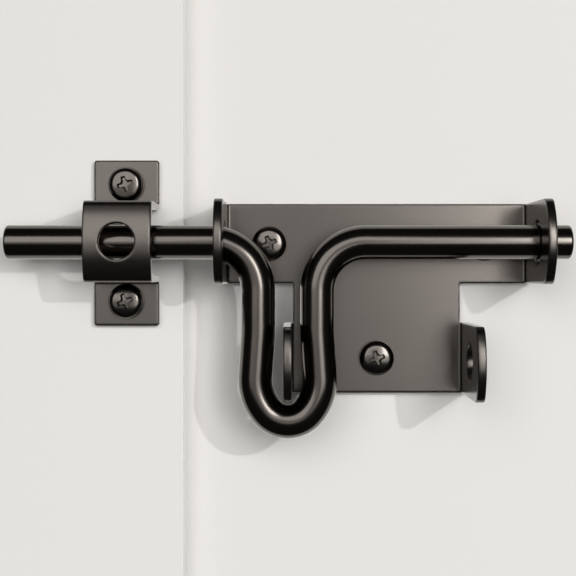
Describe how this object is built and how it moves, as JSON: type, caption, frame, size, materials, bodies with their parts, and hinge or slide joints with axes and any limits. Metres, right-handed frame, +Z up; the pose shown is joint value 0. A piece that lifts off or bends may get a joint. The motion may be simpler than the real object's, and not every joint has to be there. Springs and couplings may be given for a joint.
{
  "type": "sliding bolt",
  "caption": "Folded steel bracket with a bent round bar that swings on its own axis and slides into a strap keeper; lugs take a padlock.",
  "frame": {"origin": "the middle of the bracket's back face, at the height of the bar's axis", "axes": "+X along the bar towards its short end, +Y into the wall, +Z up"},
  "size_m": [0.1984, 0.068, 0.099],
  "materials": {
    "folded_sheet": "dark metallic satin coat",
    "round_bar": "dark metallic gloss coat",
    "screw": "dark metallic satin coat"
  },
  "bodies": {
    "fixed_frame": {"bracket": "folded_sheet", "keeper": "folded_sheet", "bracket_screws": "screw", "keeper_screws": "screw"},
    "sliding_bar": {"bolt": "round_bar"}
  },
  "joints": [
    {"name": "handle_swing", "type": "hinge", "parent": "fixed_frame", "child": "sliding_bar", "pos_m": [0, -0.023, 0], "axis": [-1, 0, 0], "range_deg": [-10, 180]}
  ]
}
